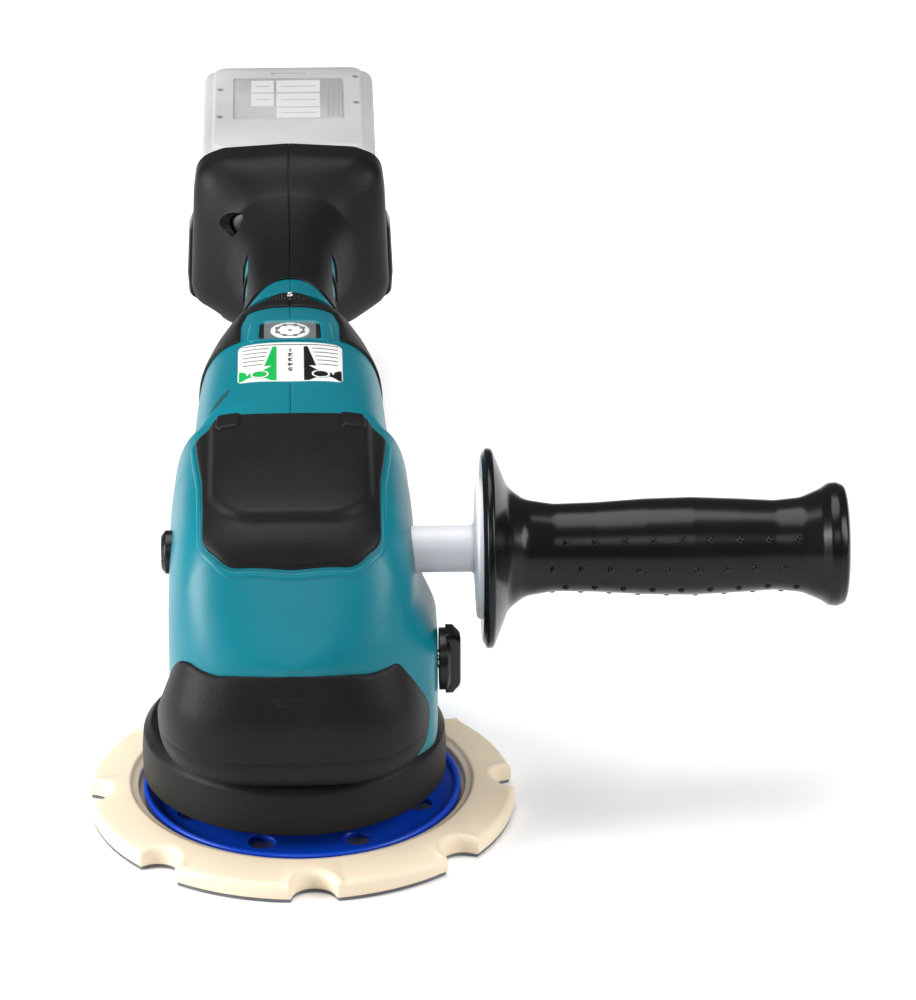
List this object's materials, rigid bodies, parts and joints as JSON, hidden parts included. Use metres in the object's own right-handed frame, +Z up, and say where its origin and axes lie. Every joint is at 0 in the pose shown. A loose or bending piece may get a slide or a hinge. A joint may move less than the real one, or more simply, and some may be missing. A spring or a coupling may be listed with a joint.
{
  "type": "dual action polisher",
  "caption": "Cordless dual action polisher: an orbiting, slowly rotating backing pad under a geared head, with a side handle and a slide-off battery.",
  "frame": {"origin": "where the drive spindle's axis meets the pad's working face", "axes": "+Z up along the spindle axis, +Y from the nose to the battery, +X along the side handle"},
  "size_m": [0.2921, 0.537, 0.1417],
  "materials": {
    "teal_plastic": "satin moulded glass-filled nylon, fine texture",
    "black_rubber": "matt thermoplastic elastomer",
    "black_plastic": "satin black plastic",
    "handle_plastic": "glossy black plastic",
    "blue_plastic": "satin blue plastic",
    "cream_foam": "moulded polyurethane foam with a smooth skin",
    "hook_fabric": "hook fastening fabric",
    "grey_plastic": "smooth light grey plastic",
    "battery_grey": "satin light grey plastic",
    "white_plastic": "printed white disc",
    "clear_plastic": "clear polycarbonate",
    "cast_aluminium": "die-cast aluminium",
    "steel": "machined steel",
    "copper": "enamelled copper wire",
    "cell_can": "sleeved cells: their average density is near aluminium's"
  },
  "bodies": {
    "tool_body": {"lower_housing": "cast_aluminium", "gear_housing": "cast_aluminium", "forced_rotation_ring": "steel", "spindle_bearing_lower": "steel", "spindle_bearing_upper": "steel", "motor_bracket": "cast_aluminium", "rubber_skirt": "black_rubber", "nose_bumper": "black_rubber", "head_cover": "teal_plastic", "top_cover": "black_rubber", "handle_tube": "grey_plastic", "side_handle_grip": "handle_plastic", "handle_stud": "steel", "handle_end_cap": "black_plastic", "boss_plug": "black_plastic", "motor_bearing_front": "steel", "motor_bearing_rear": "steel", "motor_stator": "steel", "stator_windings": "copper", "motor_end_cap": "cast_aluminium", "housing_shell_left": "teal_plastic", "housing_shell_right": "teal_plastic", "grip_cover_left": "black_rubber", "grip_cover_right": "black_rubber", "shoulder_pads": "black_rubber", "housing_screws": "steel", "window_bezel": "black_plastic", "mode_indicator": "white_plastic", "window_lens": "clear_plastic", "speed_potentiometer": "black_plastic", "switch_body": "black_plastic", "trigger_pin": "steel", "trigger_spring": "steel", "controller": "black_plastic", "battery_dock": "black_plastic", "terminal_block": "black_plastic"},
    "spindle": {"drive_spindle": "steel", "eccentric_weight": "steel", "bevel_gear": "steel", "pad_bearing": "steel"},
    "pad": {"pad_arbor": "steel", "pad_bolt": "steel", "backing_plate": "blue_plastic", "foam_pad": "cream_foam", "hook_face": "hook_fabric"},
    "rotor": {"rotor_shaft": "steel", "rotor_core": "steel", "bevel_pinion": "steel", "cooling_fan": "black_plastic"},
    "mode_lever": {"mode_knob": "black_plastic", "knob_camshaft": "steel"},
    "lock_pin": {"ring_lock_pin": "steel"},
    "dial": {"speed_dial": "black_plastic"},
    "trigger_lever": {"trigger": "black_plastic"},
    "lock_on": {"lock_on_button": "black_plastic"},
    "battery": {"battery_case_lower": "battery_grey", "battery_case_upper": "battery_grey", "battery_cells": "cell_can"},
    "battery_latch": {"battery_latch_button": "battery_grey"},
    "gauge_button": {"charge_button": "black_plastic"}
  },
  "joints": [
    {"name": "spindle_spin", "type": "hinge", "parent": "tool_body", "child": "spindle", "pos_m": [0, 0, 0.07], "axis": [0, 0, 1], "continuous": true},
    {"name": "pad_spin", "type": "hinge", "parent": "spindle", "child": "pad", "pos_m": [0.00275, 0, 0.03], "axis": [0, 0, 1], "continuous": true},
    {"name": "rotor_spin", "type": "hinge", "parent": "tool_body", "child": "rotor", "pos_m": [0, 0.1, 0.1], "axis": [0, 1, 0], "continuous": true},
    {"name": "mode_knob_turn", "type": "hinge", "parent": "tool_body", "child": "mode_lever", "pos_m": [0.0557, -0.008, 0.0652], "axis": [1, 0, 0], "range_deg": [0, 90]},
    {"name": "ring_lock_slide", "type": "slide", "parent": "tool_body", "child": "lock_pin", "axis": [0, 0, 1], "range_m": [0, 0.0038]},
    {"name": "speed_dial_turn", "type": "hinge", "parent": "tool_body", "child": "dial", "pos_m": [0, 0.197, 0.114], "axis": [0, 1, 0], "range_deg": [-200, 0]},
    {"name": "trigger_squeeze", "type": "hinge", "parent": "tool_body", "child": "trigger_lever", "pos_m": [0, 0.284, 0.084], "axis": [-1, 0, 0], "range_deg": [0, 6], "stiffness_Nm_per_rad": 1.5, "springref_deg": -5.73, "deforming": ["trigger_spring"]},
    {"name": "lock_on_press", "type": "slide", "parent": "tool_body", "child": "lock_on", "axis": [1, 0, 0], "range_m": [0, 0.003], "stiffness_N_per_m": 400, "springref_m": -0.002},
    {"name": "battery_slide", "type": "slide", "parent": "tool_body", "child": "battery", "axis": [0, 1, 0], "range_m": [0, 0.1]},
    {"name": "battery_latch_press", "type": "slide", "parent": "battery", "child": "battery_latch", "axis": [0, 0, 1], "range_m": [0, 0.003], "stiffness_N_per_m": 500, "springref_m": -0.002},
    {"name": "gauge_press", "type": "slide", "parent": "battery", "child": "gauge_button", "axis": [0, -1, 0], "range_m": [0, 0.0005], "stiffness_N_per_m": 800, "springref_m": -0.0005}
  ],
  "couplings": [
    {"joint": "pad_spin", "follows": "spindle_spin", "ratio": -1.1143},
    {"joint": "rotor_spin", "follows": "spindle_spin", "ratio": 3.8},
    {"joint": "mode_knob_turn", "follows": "ring_lock_slide", "rad_per_m": 413.3}
  ]
}
